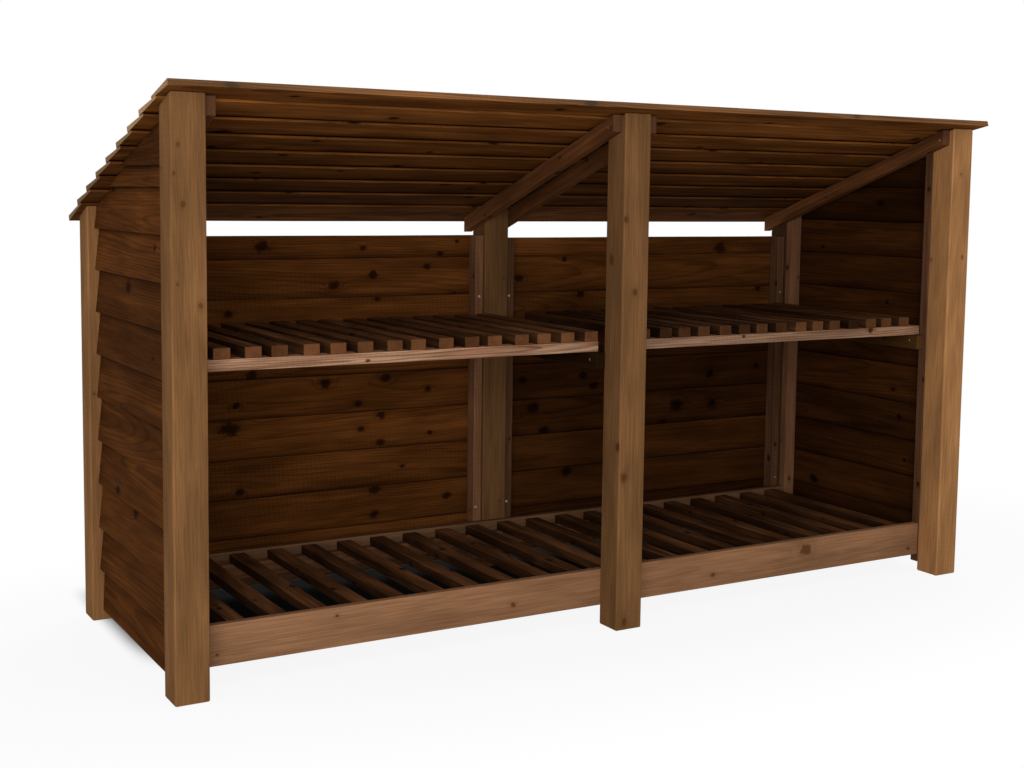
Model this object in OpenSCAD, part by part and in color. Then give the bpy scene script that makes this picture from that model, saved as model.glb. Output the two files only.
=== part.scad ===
// Open-fronted log store of rough-sawn softwood: six posts, a mono-pitch roof and
// three clad walls of lapped feather-edge boards, a slatted floor and a slatted shelf.
// Millimetres, +Z up, front towards -Y, origin under the middle of the roof's footprint.

/* [Frame] */
// Outer face to outer face of the end posts, along the front
width = 2240; // [1400:10:3000]
// Front face of the front posts to rear face of the back posts
depth = 745; // [500:5:1200]
// Top of the front posts at their front face
front_height = 1245; // [900:5:2000]
// Fall of the roof towards the back, in degrees
roof_fall = 19.2; // [8:0.1:25]
// Side of the square posts
post = 74; // [50:1:120]

/* [Battens] */
// Narrow side of the battens
batten_thin = 25; // [15:1:40]
// Wide side of the battens
batten_wide = 38; // [30:1:60]
// Front ends of the rafters, behind the front face of the posts
rafter_setback = 15; // [0:1:40]
// Rear ends of the rafters, past the rear face of the posts
rafter_tail = 5; // [0:1:30]

/* [Roof boards] */
// Width of a roof board
roof_wide = 125; // [100:1:200]
// Width of the front board, which lies with its thick edge forward
roof_front_wide = 115; // [90:1:180]
// Thick edge of a roof board
roof_thick = 14; // [8:0.5:22]
// Thin edge of a roof board
roof_thin = 6; // [3:0.5:10]
// Largest part of a roof board that shows below the next one up
roof_show = 99; // [70:1:140]
// Roof past the front face of the posts
front_overhang = 38; // [20:1:100]
// Roof past the rear face of the posts
rear_overhang = 40; // [20:1:100]
// Roof past the outer faces of the end posts
end_overhang = 15; // [0:1:80]

/* [Wall boards] */
// Width of a wall board
wall_wide = 125; // [100:1:200]
// Thick edge of a wall board
wall_thick = 11; // [7:0.5:18]
// Thin edge of a wall board
wall_thin = 5; // [3:0.5:8]
// Height of a wall board that shows below the next one up
wall_show = 103.5; // [70:0.5:115]
// Least height of the top wall board that shows
wall_top_show = 45; // [30:1:90]
// Unevenness in the heights of the side walls' boards
wall_wander = 10; // [0:0.5:12]
// Lower edge of the walls above the ground
wall_bottom = 25; // [0:1:150]
// Upper edge of the back walls below the roof, at the rear face of the posts
vent = 50; // [20:1:150]
// Front of the back wall's battens, behind the front face of the back posts
back_setback = 9; // [0:1:20]
// Upper edge of the right back wall below that of the left one
right_back_drop = 7; // [0:1:30]

/* [Floor] */
// Top of the floor rails above the ground
floor_top = 137; // [100:1:250]
// Height of the floor rails
rail_tall = 90; // [70:1:150]
// Thickness of the floor rails
rail_thick = 20; // [15:1:40]
// Top of the floor slats below the top of the rails
slat_drop = 5; // [0:1:10]
// Width of a floor slat
slat_wide = 40; // [25:1:80]
// Thickness of a floor slat
slat_thick = 22; // [15:1:40]
// Distance from one floor slat to the next
slat_pitch = 97; // [60:1:150]
// Row of floor slats off the middle, to the right
slat_offset = 16; // [-20:1:20]

/* [Shelf] */
// Top of the shelf bearers above the ground
shelf_height = 672; // [400:1:900]
// Front of the shelf behind the rear face of the front posts
shelf_setback = 24; // [10:1:80]
// Largest distance from one shelf slat to the next
shelf_pitch = 67; // [45:1:120]
// Left end of a shelf to its first slat
shelf_start = 42; // [0:1:80]
// Last slat of the left shelf to its right end
left_shelf_end = 2; // [0:1:80]
// Last slat of the right shelf to its right end
right_shelf_end = 41; // [0:1:80]
// Height of the shelf bearers
bearer_tall = 40; // [30:1:80]
// Ends of the side bearers behind the rear face of the front posts
bearer_setback = 8; // [0:1:20]
// Ends of the centre bearers on the side faces of the centre posts
bearer_overlap = 6; // [3:1:60]
// Unevenness in the spacing of the slats
slat_wander = 4; // [0:0.5:6]

/* [Clearances] */
// Between lapped boards
lap_gap = 0.3; // [0.1:0.1:1]
// At the ends of boards, slats and rails
end_gap = 1; // [0.5:0.1:3]

/* [Hidden] */
$fn = 48;

// Faces of the frame, measured from the outer front corner of the left post
centre_left = (width - post) / 2;
centre_right = (width + post) / 2;
inner_right = width - post;
back_face = depth - post;

// Underside of the roof, which is also the top of posts, rafters and side walls
fall = tan(roof_fall);
function roof_z(y) = front_height - y * fall;

// Lapped boards: how far the lower edge of a board is lifted off its seat by the board below,
// itself lifted by under, where the part that shows is show
function lift(under, wide, show, thick, thin) =
  lap_gap + max(thin + (under + thick - thin) * (wide - show) / wide, (thin + lap_gap) * wide / show);

// Roof boards down the slope from the front edge
slope_long = (front_overhang + depth + rear_overhang) / cos(roof_fall);
roof_count = ceil((slope_long - roof_front_wide) / roof_show);
roof_step = (slope_long - roof_front_wide) / roof_count;
function roof_lift(i) =
  i >= roof_count - 1 ? 0 : lift(roof_lift(i + 1), roof_wide, roof_step, roof_thick, roof_thin);

// The front board rests on the front edge of the posts and on the board behind it
rest_front = front_overhang / cos(roof_fall);
next_edge = roof_front_wide + roof_step - roof_wide;
rest_rise = max(
  roof_lift(-1) / (roof_front_wide - rest_front),
  next_edge > rest_front + 1 ? (roof_thin + lap_gap) / (next_edge - rest_front) : 0
);
front_dip = rest_rise * rest_front;

// Middle of the footprint
front_edge = -front_overhang - front_dip * sin(roof_fall);
rear_edge = depth + rear_overhang + roof_thick * sin(roof_fall);
middle = (front_edge + rear_edge) / 2;

// Walls: lower edges of the boards up to a top, where the last one laps more to end there
side_top = roof_z(post) - end_gap;
back_top = roof_z(depth) - vent;
function wall_count(top) = ceil((top - wall_wide - wall_bottom) / wall_show) + 1;
function wall_low(k, top, uneven) =
  k < wall_count(top) - 1 ? wall_bottom + k * wall_show + uneven * sin(25 * max(0, k - 2))
  : max(wall_low(k - 1, top, uneven) + wall_top_show, top - wall_wide);
function wall_lift(k, top, uneven) =
  k == 0 ? 0
  : let (show = wall_low(k, top, uneven) - wall_low(k - 1, top, uneven))
    lift(wall_lift(k - 1, top, uneven), wall_wide, show, wall_thick, wall_thin);
side_face = post - batten_wide;
back_batten = back_face + back_setback;
back_board = back_batten + batten_wide;

// Floor and shelf
slat_top = floor_top - slat_drop;
slat_under = slat_top - slat_thick;
inner_wide = inner_right - post;
slat_count = floor((inner_wide - slat_wide - 2 * batten_thin) / slat_pitch) + 1;
slat_first = (width - (slat_count - 1) * slat_pitch - slat_wide) / 2 + slat_offset;
shelf_front = post + shelf_setback;
shelf_back = depth - shelf_front;
shelf_slat_z = shelf_height + batten_thin;
shelf_long = centre_left - post - end_gap;
function shelf_row(end) = shelf_long - shelf_start - end - batten_wide;
function shelf_count(end) = ceil(shelf_row(end) / shelf_pitch) + 1;

// Sideways shift of a slat in its row, none at the two ends
function wander(i, count, turn) = i == 0 || i == count - 1 ? 0 : slat_wander * sin(turn * i);

// Timber colours
post_brown = [0.47, 0.33, 0.20];
batten_brown = [0.60, 0.45, 0.31];
board_brown = [0.42, 0.28, 0.16];
slat_brown = [0.36, 0.25, 0.16];

// From the corner of the left post to the middle of the footprint
module place() {
  translate([-width / 2, -middle, 0]) children();
}

// A piece of one outline in Y and Z, from x on, of width w
module along_x(x, w, outline) {
  translate([x, 0, 0]) rotate([90, 0, 90]) linear_extrude(w) polygon(outline);
}

// A square-cut length of timber from one corner to the other
module timber(from, to) {
  translate(from) cube(to - from);
}

// An upright whose top is cut to the slope of the roof
module upright(x, w, y, d, bottom = 0) {
  along_x(x, w, [[y, bottom], [y + d, bottom], [y + d, roof_z(y + d)], [y, roof_z(y)]]);
}

// A rafter under the roof boards, plumb cut at both ends
module rafter(x) {
  y0 = rafter_setback;
  y1 = depth + rafter_tail;
  deep = batten_wide / cos(roof_fall);
  along_x(x, batten_thin,
    [[y0, roof_z(y0)], [y0, roof_z(y0) - deep], [y1, roof_z(y1) - deep], [y1, roof_z(y1)]]);
}

// Down the slope of the roof from its front edge
module on_slope() {
  translate([0, -front_overhang, roof_z(-front_overhang)]) rotate([-roof_fall, 0, 0]) children();
}

// A roof board between two places down the slope, given its underside and thickness at each
module roof_board(s0, s1, h0, h1, t0, t1) {
  on_slope()
    along_x(-end_overhang, width + 2 * end_overhang, [[s0, h0], [s1, h1], [s1, h1 + t1], [s0, h0 + t0]]);
}

// Outline of a lapped wall board: distance off the batten and height
function wall_outline(k, top, uneven) =
  let (low = wall_low(k, top, uneven))
  let (off = wall_lift(k, top, uneven))
  [[0, low + wall_wide], [off, low], [off + wall_thick, low], [wall_thin, low + wall_wide]];

// Boards of a side wall on the outside of its battens, trimmed under the roof
module side_boards() {
  y0 = post + end_gap;
  y1 = back_face - end_gap;
  for (k = [0 : wall_count(side_top) - 1])
    intersection() {
      translate([side_face, y1, 0]) rotate([90, 0, 0]) mirror([1, 0, 0])
        linear_extrude(y1 - y0) polygon(wall_outline(k, side_top, wall_wander));
      along_x(0, post, [[y0, 0], [y1, 0], [y1, roof_z(y1) - end_gap], [y0, roof_z(y0) - end_gap]]);
    }
}

// Boards of one back wall on the rear of its battens, trimmed level below the roof
module back_boards(x0, x1, top) {
  for (k = [0 : wall_count(top) - 1])
    intersection() {
      along_x(x0 + end_gap, x1 - x0 - 2 * end_gap,
        [for (p = wall_outline(k, top, 0)) [back_board + p[0], p[1]]]);
      timber([x0, back_board, 0], [x1, depth, top]);
    }
}

// The two battens of one back wall, against the posts
module back_battens(x0, x1, top) {
  for (x = [x0, x1 - batten_thin])
    timber([x, back_batten, wall_bottom], [x + batten_thin, back_board, top]);
}

// A shelf bearer from front to back, its ends a distance inside the posts
module shelf_bearer(x, inside) {
  timber([x, post + inside, shelf_height - bearer_tall], [x + batten_thin, back_face - inside, shelf_height]);
}

// A rail of one shelf, laid flat across its bearers
module shelf_rail(x, y) {
  timber([x, y, shelf_height], [x + shelf_long, y + batten_wide, shelf_slat_z]);
}

// The slats of one shelf on its rails
module shelf_slats(x0, end, turn) {
  last = shelf_count(end) - 1;
  for (i = [0 : last])
    let (x = x0 + shelf_start + i * shelf_row(end) / last + wander(i, last + 1, turn))
      timber([x, shelf_front, shelf_slat_z], [x + batten_wide, shelf_back, shelf_slat_z + batten_thin]);
}

module front_left_post() { color(post_brown) place() upright(0, post, 0, post); }
module front_centre_post() { color(post_brown) place() upright(centre_left, post, 0, post); }
module front_right_post() { color(post_brown) place() upright(inner_right, post, 0, post); }
module back_left_post() { color(post_brown) place() upright(0, post, back_face, post); }
module back_centre_post() { color(post_brown) place() upright(centre_left, post, back_face, post); }
module back_right_post() { color(post_brown) place() upright(inner_right, post, back_face, post); }

module left_rafter() { color(board_brown) place() rafter(post); }
module centre_left_rafter() { color(board_brown) place() rafter(centre_left - batten_thin); }
module centre_right_rafter() { color(board_brown) place() rafter(centre_right); }
module right_rafter() { color(board_brown) place() rafter(inner_right - batten_thin); }

module roof_front_board() {
  color(board_brown) place()
    roof_board(0, roof_front_wide, -front_dip, rest_rise * roof_front_wide - front_dip,
      roof_thick, roof_thin);
}

module roof_boards() {
  color(board_brown) place()
    for (i = [0 : roof_count - 1])
      let (low = roof_front_wide + (i + 1) * roof_step)
        roof_board(low - roof_wide, low, 0, roof_lift(i), roof_thin, roof_thick);
}

module left_side_front_batten() {
  color(batten_brown) place() upright(side_face, batten_wide, post, batten_thin, wall_bottom);
}
module left_side_rear_batten() {
  color(batten_brown) place()
    upright(side_face, batten_wide, back_face - batten_thin, batten_thin, wall_bottom);
}
module left_side_boards() { color(board_brown) place() side_boards(); }
module right_side_front_batten() { mirror([1, 0, 0]) left_side_front_batten(); }
module right_side_rear_batten() { mirror([1, 0, 0]) left_side_rear_batten(); }
module right_side_boards() { mirror([1, 0, 0]) left_side_boards(); }

module left_back_battens() { color(batten_brown) place() back_battens(post, centre_left, back_top); }
module left_back_boards() { color(board_brown) place() back_boards(post, centre_left, back_top); }
module right_back_battens() {
  color(batten_brown) place() back_battens(centre_right, inner_right, back_top - right_back_drop);
}
module right_back_boards() {
  color(board_brown) place() back_boards(centre_right, inner_right, back_top - right_back_drop);
}

module front_floor_rail() {
  color(post_brown) place()
    timber([post, post, floor_top - rail_tall], [inner_right, post + rail_thick, floor_top]);
}
module rear_floor_rail() {
  color(post_brown) place()
    timber([post, back_face - rail_thick, floor_top - rail_tall], [inner_right, back_face, floor_top]);
}
module front_floor_ledger() {
  color(batten_brown) place()
    timber([post + end_gap, post + rail_thick, slat_under - batten_wide],
      [inner_right - end_gap, post + rail_thick + batten_thin, slat_under]);
}
module rear_floor_ledger() {
  color(batten_brown) place()
    timber([post + end_gap, back_face - rail_thick - batten_thin, slat_under - batten_wide],
      [inner_right - end_gap, back_face - rail_thick, slat_under]);
}
module floor_slats() {
  color(slat_brown) place()
    for (i = [0 : slat_count - 1])
      let (x = slat_first + i * slat_pitch + wander(i, slat_count, 151) / 2)
        timber([x, post + rail_thick + end_gap, slat_under],
          [x + slat_wide, back_face - rail_thick - end_gap, slat_top]);
}

module left_shelf_bearer() { color(batten_brown) place() shelf_bearer(post, bearer_setback); }
module centre_left_shelf_bearer() {
  color(batten_brown) place() shelf_bearer(centre_left - batten_thin, -bearer_overlap);
}
module centre_right_shelf_bearer() {
  color(batten_brown) place() shelf_bearer(centre_right, -bearer_overlap);
}
module right_shelf_bearer() {
  color(batten_brown) place() shelf_bearer(inner_right - batten_thin, bearer_setback);
}
module left_front_shelf_rail() { color(batten_brown) place() shelf_rail(post + end_gap, shelf_front); }
module left_rear_shelf_rail() {
  color(batten_brown) place() shelf_rail(post + end_gap, shelf_back - batten_wide);
}
module left_shelf_slats() { color(slat_brown) place() shelf_slats(post + end_gap, left_shelf_end, 137); }
module right_front_shelf_rail() { color(batten_brown) place() shelf_rail(centre_right, shelf_front); }
module right_rear_shelf_rail() {
  color(batten_brown) place() shelf_rail(centre_right, shelf_back - batten_wide);
}
module right_shelf_slats() { color(slat_brown) place() shelf_slats(centre_right, right_shelf_end, 101); }

front_left_post();
front_centre_post();
front_right_post();
back_left_post();
back_centre_post();
back_right_post();
left_rafter();
centre_left_rafter();
centre_right_rafter();
right_rafter();
roof_front_board();
roof_boards();
left_side_front_batten();
left_side_rear_batten();
left_side_boards();
right_side_front_batten();
right_side_rear_batten();
right_side_boards();
left_back_battens();
left_back_boards();
right_back_battens();
right_back_boards();
front_floor_rail();
rear_floor_rail();
front_floor_ledger();
rear_floor_ledger();
floor_slats();
left_shelf_bearer();
centre_left_shelf_bearer();
centre_right_shelf_bearer();
right_shelf_bearer();
left_front_shelf_rail();
left_rear_shelf_rail();
left_shelf_slats();
right_front_shelf_rail();
right_rear_shelf_rail();
right_shelf_slats();
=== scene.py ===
"""Looks of an open-fronted log store in rough-sawn, brown-treated softwood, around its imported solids."""

import math
import random

import bmesh
import bpy
from mathutils import Matrix, Vector, noise
from mathutils.bvhtree import BVHTree


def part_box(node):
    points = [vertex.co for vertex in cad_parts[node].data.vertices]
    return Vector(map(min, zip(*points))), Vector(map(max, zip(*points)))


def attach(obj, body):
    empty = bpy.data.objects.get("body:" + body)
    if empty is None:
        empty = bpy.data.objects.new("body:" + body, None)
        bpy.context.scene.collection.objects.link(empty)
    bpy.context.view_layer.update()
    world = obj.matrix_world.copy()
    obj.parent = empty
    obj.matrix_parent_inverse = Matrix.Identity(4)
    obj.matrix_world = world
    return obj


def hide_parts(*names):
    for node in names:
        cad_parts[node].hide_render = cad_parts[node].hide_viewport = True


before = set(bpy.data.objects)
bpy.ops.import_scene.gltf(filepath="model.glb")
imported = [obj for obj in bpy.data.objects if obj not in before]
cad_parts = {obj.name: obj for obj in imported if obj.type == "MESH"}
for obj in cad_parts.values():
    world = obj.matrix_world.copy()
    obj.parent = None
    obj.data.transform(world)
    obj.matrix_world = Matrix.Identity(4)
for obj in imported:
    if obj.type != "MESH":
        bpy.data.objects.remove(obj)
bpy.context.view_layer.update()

scene = bpy.context.scene
scene.view_settings.view_transform = "Standard"

MM = 0.001
X, Y, Z = Vector((1, 0, 0)), Vector((0, 1, 0)), Vector((0, 0, 1))

# Fall of the roof towards the back, and the directions down it and off it
ROOF_FALL = math.radians(19.2)
DOWN_ROOF = Vector((0, math.cos(ROOF_FALL), -math.sin(ROOF_FALL)))
OFF_ROOF = Vector((0, math.sin(ROOF_FALL), math.cos(ROOF_FALL)))


def shade(red, green, blue):
    """A colour as seen on a screen, 0 to 255, in the linear values that shaders take."""
    parts = [c / 255 for c in (red, green, blue)]
    return tuple(c / 12.92 if c <= 0.04045 else ((c + 0.055) / 1.055) ** 2.4 for c in parts) + (1.0,)


# Wiring of shader nodes

def feed(tree, value, socket):
    """Puts a value, or another node's output, on a socket."""
    if isinstance(value, bpy.types.NodeSocket):
        tree.links.new(value, socket)
    else:
        socket.default_value = value


def calc(tree, operation, *values):
    """The result of a sum on values or other nodes' outputs."""
    node = tree.nodes.new("ShaderNodeMath")
    node.operation = operation
    for value, socket in zip(values, node.inputs):
        feed(tree, value, socket)
    return node.outputs[0]


def squares(tree, first, second):
    """The sum of two squares."""
    return calc(tree, "ADD", calc(tree, "POWER", first, 2.0), calc(tree, "POWER", second, 2.0))


def between(tree, value, low, high, out_low=0.0, out_high=1.0):
    """A smooth step of value from low to high."""
    node = tree.nodes.new("ShaderNodeMapRange")
    node.interpolation_type = "SMOOTHSTEP"
    for name, number in (("Value", value), ("From Min", low), ("From Max", high),
                         ("To Min", out_low), ("To Max", out_high)):
        feed(tree, number, node.inputs[name])
    return node.outputs["Result"]


def scaled(tree, vector, amount):
    """A vector or colour times a number."""
    node = tree.nodes.new("ShaderNodeVectorMath")
    node.operation = "SCALE"
    feed(tree, vector, node.inputs[0])
    feed(tree, amount, node.inputs["Scale"])
    return node.outputs[0]


def joined(tree, operation, first, second):
    """Two vectors added or multiplied, direction by direction."""
    node = tree.nodes.new("ShaderNodeVectorMath")
    node.operation = operation
    feed(tree, first, node.inputs[0])
    feed(tree, second, node.inputs[1])
    return node.outputs[0]


def cloud(tree, vector, waves, detail=1.0, rough=0.5):
    """Noise from 0 to 1, with so many waves a metre in each direction."""
    node = tree.nodes.new("ShaderNodeTexNoise")
    node.noise_dimensions = "3D"
    feed(tree, joined(tree, "MULTIPLY", vector, waves), node.inputs["Vector"])
    node.inputs["Scale"].default_value = 1.0
    node.inputs["Detail"].default_value = detail
    node.inputs["Roughness"].default_value = rough
    return node.outputs["Fac"]


def blend(tree, amount, first, second):
    """A mix of two colours."""
    node = tree.nodes.new("ShaderNodeMix")
    node.data_type = "RGBA"
    feed(tree, amount, node.inputs[0])
    feed(tree, first, node.inputs[6])
    feed(tree, second, node.inputs[7])
    return node.outputs[2]


def split(tree, vector):
    """The three parts of a vector."""
    node = tree.nodes.new("ShaderNodeSeparateXYZ")
    feed(tree, vector, node.inputs[0])
    return node.outputs


def new_group(name, takes, gives):
    """A new shader group with named sockets: its tree, what it takes and what it gives."""
    tree = bpy.data.node_groups.new(name, "ShaderNodeTree")
    for socket, kind in takes:
        tree.interface.new_socket(socket, in_out="INPUT", socket_type=kind)
    for socket, kind in gives:
        tree.interface.new_socket(socket, in_out="OUTPUT", socket_type=kind)
    inlet = tree.nodes.new("NodeGroupInput").outputs
    outlet = tree.nodes.new("NodeGroupOutput").inputs
    return tree, inlet, outlet


NUMBER, COLOUR, VECTOR = "NodeSocketFloat", "NodeSocketColor", "NodeSocketVector"


def grouped_finish(name, group_tree, values):
    """A material coloured by a group, with its own values there: the material, the group and the surface."""
    material = bpy.data.materials.new(name)
    material.use_nodes = True
    t = material.node_tree
    group = t.nodes.new("ShaderNodeGroup")
    group.node_tree = group_tree
    for socket, value in values.items():
        group.inputs[socket].default_value = value
    surface = t.nodes["Principled BSDF"]
    t.links.new(group.outputs["Color"], surface.inputs["Base Color"])
    t.links.new(group.outputs["Roughness"], surface.inputs["Roughness"])
    return material, group, surface


# Treated timber

# Noise along the timber, across it and into it, in waves a metre
BEND_WAVES = (1.7, 9, 9)
FIBRE_WAVES = (9, 330, 330)
STREAK_WAVES = (1.6, 46, 46)
MOTTLE_WAVES = (3.4, 16, 16)
OUTLINE_WAVES = (45, 60, 60)
# The way in the noise from one length of timber to the next
SEED_WAY = (0.37, 0.83, 0.59)
# A smaller radius is no knot, and the least radius that a distance is measured in, in metres
LEAST_KNOT, LEAST_RADIUS = 0.0008, 0.0005
# How far the rings wander, how far a knot pushes them in knot radii, and the saw's two pitches, in metres
RING_WANDER, KNOT_PUSH = 0.024, 1.5
SAW_PITCH, SAW_BEAT = 0.0058, 0.0131


def grain_group():
    """Growth rings round a pith, fibres, saw marks and knots, in the timber's own lengthwise coordinates."""
    t, inlet, outlet = new_group(
        "sawn_grain",
        [("Grain", VECTOR), ("Knot", VECTOR), ("Seed", NUMBER), ("Ring", NUMBER)],
        [("Late", NUMBER), ("Fibre", NUMBER), ("Streak", NUMBER), ("Saw", NUMBER),
         ("Mottle", NUMBER), ("Knot Core", NUMBER), ("Knot Rim", NUMBER), ("Knot Halo", NUMBER)])
    length, across, deep = split(t, inlet["Grain"])
    knot_x, knot_y, knot_size = split(t, inlet["Knot"])

    # A place in the noise of its own for each length of timber
    own = joined(t, "ADD", inlet["Grain"], scaled(t, SEED_WAY, inlet["Seed"]))
    bend = calc(t, "SUBTRACT", cloud(t, own, BEND_WAVES), 0.5)
    fibre = cloud(t, own, FIBRE_WAVES, 1.0, 0.6)
    streak = cloud(t, own, STREAK_WAVES, 3.0, 0.78)
    mottle = cloud(t, own, MOTTLE_WAVES, 2.0, 0.6)
    uneven = calc(t, "SUBTRACT", cloud(t, own, OUTLINE_WAVES, 2.0, 0.6), 0.5)

    # Distance from the knot, in knot radii, with an uneven outline
    size = calc(t, "MAXIMUM", knot_size, LEAST_RADIUS)
    there = calc(t, "GREATER_THAN", knot_size, LEAST_KNOT)
    kx = calc(t, "DIVIDE", knot_x, size)
    ky = calc(t, "DIVIDE", knot_y, size)
    oval = calc(t, "SQRT", squares(t, calc(t, "MULTIPLY", kx, 0.8), ky))
    off = calc(t, "ADD", oval, calc(t, "MULTIPLY", uneven, 2.0))
    core = calc(t, "MULTIPLY", there, between(t, off, 1.0, 0.62))
    band = calc(t, "MULTIPLY", between(t, off, 0.55, 0.9), between(t, off, 1.35, 1.0))
    rim = calc(t, "MULTIPLY", there, band)
    near = squares(t, calc(t, "MULTIPLY", kx, 0.42), calc(t, "MULTIPLY", ky, 0.75))
    halo = calc(t, "MULTIPLY", there, calc(t, "EXPONENT", calc(t, "MULTIPLY", near, -1.0)))

    # Rings, wavy along the length and pushed aside by the knot
    radius = calc(t, "SQRT", squares(t, across, deep))
    radius = calc(t, "ADD", radius, calc(t, "MULTIPLY", bend, RING_WANDER))
    radius = calc(t, "ADD", radius, calc(t, "MULTIPLY", halo, calc(t, "MULTIPLY", knot_size, KNOT_PUSH)))
    turn = calc(t, "FRACT", calc(t, "DIVIDE", radius, inlet["Ring"]))
    late = calc(t, "MULTIPLY", between(t, turn, 0.25, 0.9), between(t, turn, 1.0, 0.92))

    # Saw marks across the length, in patches
    slant = calc(t, "ADD", calc(t, "ADD", length, calc(t, "MULTIPLY", across, 0.12)),
                 calc(t, "MULTIPLY", bend, 0.012))
    wave = calc(t, "SINE", calc(t, "MULTIPLY", slant, 2 * math.pi / SAW_PITCH))
    ripple = calc(t, "SINE", calc(t, "MULTIPLY", slant, 2 * math.pi / SAW_BEAT))
    marks = calc(t, "ADD", calc(t, "MULTIPLY", wave, 0.3), calc(t, "MULTIPLY", ripple, 0.2))
    saw = calc(t, "MULTIPLY", calc(t, "ADD", marks, 0.5), between(t, bend, -0.08, 0.14))

    for name, value in (("Late", late), ("Fibre", fibre), ("Streak", streak), ("Saw", saw),
                        ("Mottle", mottle), ("Knot Core", core), ("Knot Rim", rim), ("Knot Halo", halo)):
        feed(t, value, outlet[name])
    return t


# How far the painted shade below a lap reaches, in metres
LAP_SHADE_REACH = 0.0065
# How strongly marks show: streaks beside rings, worn arrises, painted shade below laps, and knots' cores and
# rims
STREAK_SHARE, ARRIS_WEAR, LAP_DARK, CORE_DARK, RIM_DARK = 0.75, 0.14, 0.72, 0.85, 0.6
# How much of its length's tone the end grain takes, and how strongly rings show in it
END_TONE, END_RINGS = 1.4, 0.45


def stain_group(grain_tree):
    """Colour, roughness and relief of treated timber from its grain, tone, end grain and worn arrises, with
    painted shade below laps.
    """
    t, inlet, outlet = new_group(
        "treated_timber",
        [("Grain", VECTOR), ("Knot", VECTOR), ("Seed", NUMBER), ("Tone", NUMBER), ("End", NUMBER),
         ("Arris", NUMBER), ("Lap", NUMBER), ("Ring", NUMBER), ("Contrast", NUMBER), ("Blotch", NUMBER),
         ("Saw", NUMBER), ("Early", COLOUR), ("Late", COLOUR), ("Heart", COLOUR), ("Pale", COLOUR)],
        [("Color", COLOUR), ("Roughness", NUMBER), ("Relief", NUMBER)])
    grain = t.nodes.new("ShaderNodeGroup")
    grain.node_tree = grain_tree
    for name in ("Grain", "Knot", "Seed", "Ring"):
        t.links.new(inlet[name], grain.inputs[name])
    part = grain.outputs

    streaks = calc(t, "MULTIPLY", between(t, part["Streak"], 0.32, 0.68), STREAK_SHARE)
    rings = calc(t, "MULTIPLY", part["Late"], between(t, part["Streak"], 0.3, 0.6, 0.45, 1.0))
    dark = calc(t, "MULTIPLY", calc(t, "MAXIMUM", rings, streaks), inlet["Contrast"])
    colour = blend(t, dark, inlet["Early"], inlet["Late"])

    # Tone of this length, uneven take-up of the stain, fibres, saw marks, worn arrises, and painted shade
    # below laps and on slat sides
    tone = calc(t, "ADD", 1.0, inlet["Tone"])
    uptake = calc(t, "MULTIPLY", inlet["Blotch"], between(t, part["Mottle"], 0.3, 0.7, -1.0, 1.0))
    level = calc(t, "MULTIPLY", tone, calc(t, "ADD", 1.0, uptake))
    level = calc(t, "MULTIPLY", level, between(t, part["Fibre"], 0.25, 0.75, 0.84, 1.14))
    sawing = calc(t, "MULTIPLY", inlet["Saw"], calc(t, "SUBTRACT", part["Saw"], 0.2))
    level = calc(t, "MULTIPLY", level, calc(t, "SUBTRACT", 1.0, sawing))
    wear = calc(t, "MULTIPLY", inlet["Arris"], ARRIS_WEAR)
    level = calc(t, "MULTIPLY", level, calc(t, "ADD", 1.0, wear))
    # Painted shade: darker in a band just below the board that laps over this one, and on the slats' sides
    lap = calc(t, "EXPONENT", calc(t, "MULTIPLY", calc(t, "MAXIMUM", inlet["Lap"], 0.0), -1 / LAP_SHADE_REACH))
    level = calc(t, "MULTIPLY", level, calc(t, "SUBTRACT", 1.0, calc(t, "MULTIPLY", lap, LAP_DARK)))
    colour = scaled(t, colour, level)

    # Knots: a streaky dark halo, the heart and a dark rim
    halo = calc(t, "MULTIPLY", part["Knot Halo"], between(t, part["Streak"], 0.35, 0.62, 0.25, 0.85))
    heart = scaled(t, inlet["Heart"], tone)
    colour = blend(t, halo, colour, scaled(t, inlet["Late"], calc(t, "MULTIPLY", tone, 0.8)))
    colour = blend(t, calc(t, "MULTIPLY", part["Knot Core"], CORE_DARK), colour, heart)
    colour = blend(t, calc(t, "MULTIPLY", part["Knot Rim"], RIM_DARK), colour, heart)

    # End grain takes a colour of its own, with its rings showing
    ends = calc(t, "MULTIPLY", inlet["End"], between(t, part["Streak"], 0.2, 0.7, 0.95, 0.6))
    ends = calc(t, "MULTIPLY", ends, calc(t, "SUBTRACT", 1.0, calc(t, "MULTIPLY", part["Late"], END_RINGS)))
    end_level = calc(t, "ADD", 1.0, calc(t, "MULTIPLY", inlet["Tone"], END_TONE))
    colour = blend(t, ends, colour, scaled(t, inlet["Pale"], end_level))
    feed(t, colour, outlet["Color"])

    rough = calc(t, "ADD", 0.78, calc(t, "MULTIPLY", part["Fibre"], 0.2))
    feed(t, calc(t, "SUBTRACT", rough, calc(t, "MULTIPLY", part["Knot Core"], 0.12)), outlet["Roughness"])
    relief = calc(t, "ADD", calc(t, "MULTIPLY", part["Late"], 0.3), calc(t, "MULTIPLY", part["Fibre"], 0.45))
    feed(t, calc(t, "ADD", relief, calc(t, "MULTIPLY", part["Saw"], 0.35)), outlet["Relief"])
    return t


STAIN = stain_group(grain_group())

# Gloss of sawn timber, and the strength and depth of its relief in metres
SAWN_GLOSS = 0.012
RELIEF_STRENGTH, RELIEF_DEPTH = 0.6, 0.0005
# What each length of timber carries, and the group's socket that takes it
CARRIED = {"grain": "Grain", "knot": "Knot", "seed": "Seed", "tone": "Tone", "lap": "Lap",
           "end_grain": "End", "arris": "Arris"}


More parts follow.
